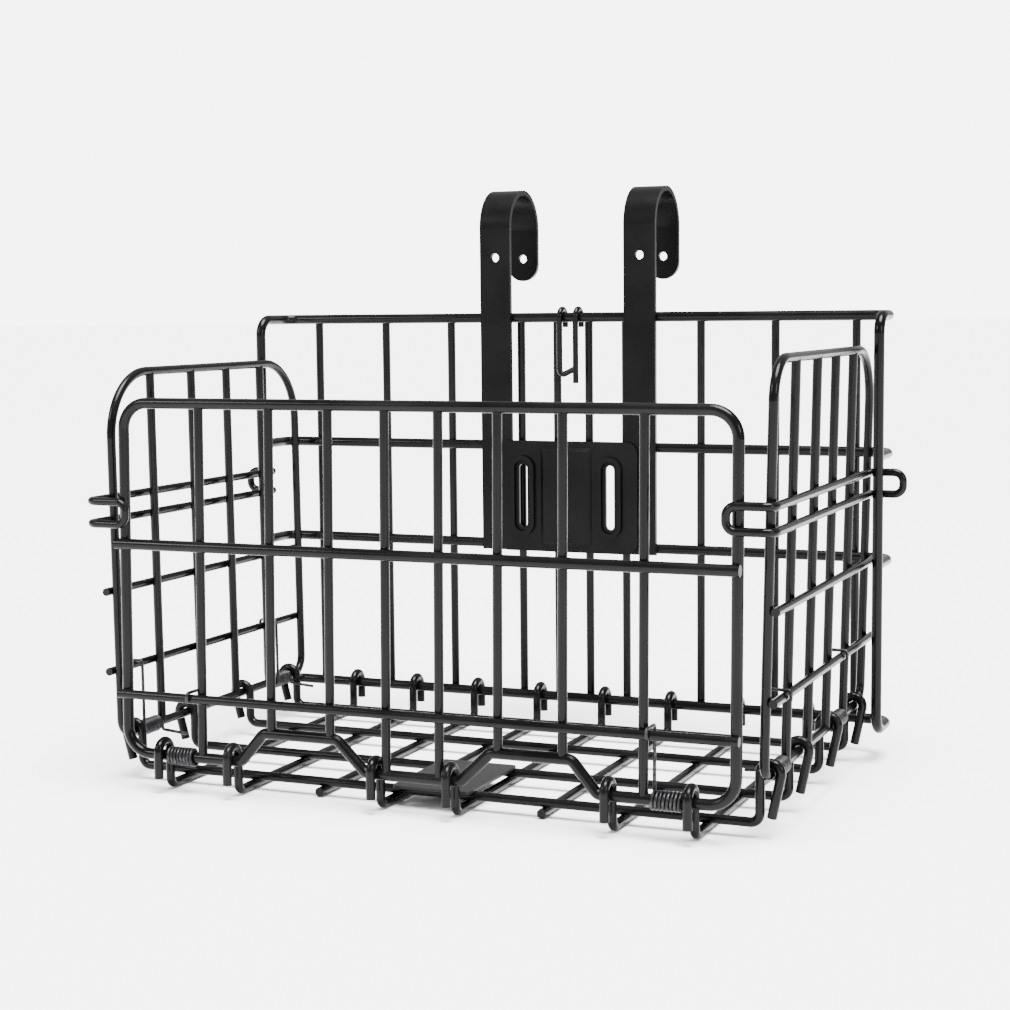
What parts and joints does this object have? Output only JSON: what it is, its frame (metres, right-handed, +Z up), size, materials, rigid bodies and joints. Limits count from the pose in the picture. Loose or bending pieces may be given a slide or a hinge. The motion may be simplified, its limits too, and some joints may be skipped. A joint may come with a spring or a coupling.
{
  "type": "handlebar basket",
  "caption": "Folding wire basket that hangs on a handlebar by two flat hooks, with front and sides that fold flat, latch wires and a mounting plate.",
  "frame": {"origin": "middle of the overall width and depth, at the height of the plane the base wires rest on", "axes": "+Z up, +Y from the basket towards the rider, +X to the viewer's right when seen from the front"},
  "size_m": [0.4264, 0.2807, 0.334],
  "materials": {
    "black_wire": "gloss black powder coat",
    "black_sheet": "satin black powder coat",
    "grey_plate": "satin dark grey",
    "black_spring": "black oxide spring steel"
  },
  "bodies": {
    "base": {"base_long_wires": "black_wire", "base_cross_wires": "black_wire", "base_tag_plate": "grey_plate", "back_rim": "black_wire", "back_lower_rail": "black_wire", "back_upper_rail": "black_wire", "back_bars": "black_wire", "hook_strap_left": "black_sheet", "hook_strap_right": "black_sheet", "mounting_plate": "black_sheet", "front_spring_left": "black_spring", "front_spring_right": "black_spring", "left_spring_front": "black_spring", "left_spring_rear": "black_spring", "right_spring_front": "black_spring", "right_spring_rear": "black_spring"},
    "front_panel": {"front_rim": "black_wire", "front_bars": "black_wire", "front_mid_rail": "black_wire", "front_low_rail": "black_wire"},
    "left_panel": {"left_rim": "black_wire", "left_bars": "black_wire", "left_low_rod": "black_wire", "left_mid_rod": "black_wire"},
    "right_panel": {"right_rim": "black_wire", "right_bars": "black_wire", "right_low_rod": "black_wire", "right_mid_rod": "black_wire"},
    "left_latch": {"left_latch_wire": "black_wire"},
    "right_latch": {"right_latch_wire": "black_wire"},
    "clip": {"fold_clip": "black_wire"}
  },
  "joints": [
    {"name": "front_fold", "type": "hinge", "parent": "base", "child": "front_panel", "pos_m": [0, -0.13185, 0.02], "axis": [-1, 0, 0], "range_deg": [0, 88.8], "stiffness_Nm_per_rad": 0.3, "springref_deg": -57.3, "deforming": ["front_spring_left", "front_spring_right"]},
    {"name": "left_fold", "type": "hinge", "parent": "base", "child": "left_panel", "pos_m": [-0.1843, -0.01685, 0.0263], "axis": [0, 1, 0], "range_deg": [0, 87.5], "stiffness_Nm_per_rad": 0.3, "springref_deg": -57.3, "deforming": ["left_spring_front", "left_spring_rear"]},
    {"name": "right_fold", "type": "hinge", "parent": "base", "child": "right_panel", "pos_m": [0.1843, -0.01685, 0.0325], "axis": [0, -1, 0], "range_deg": [0, 87.8], "stiffness_Nm_per_rad": 0.3, "springref_deg": -57.3, "deforming": ["right_spring_front", "right_spring_rear"]},
    {"name": "left_latch_swing", "type": "hinge", "parent": "base", "child": "left_latch", "pos_m": [-0.198, 0.06515, 0.15235], "axis": [0, 0, -1], "range_deg": [0, 85]},
    {"name": "right_latch_swing", "type": "hinge", "parent": "base", "child": "right_latch", "pos_m": [0.198, 0.06515, 0.16065], "axis": [0, 0, 1], "range_deg": [0, 85]},
    {"name": "clip_swing", "type": "hinge", "parent": "base", "child": "clip", "pos_m": [0, 0.09815, 0.255], "axis": [-1, 0, 0], "range_deg": [0, 120]}
  ]
}
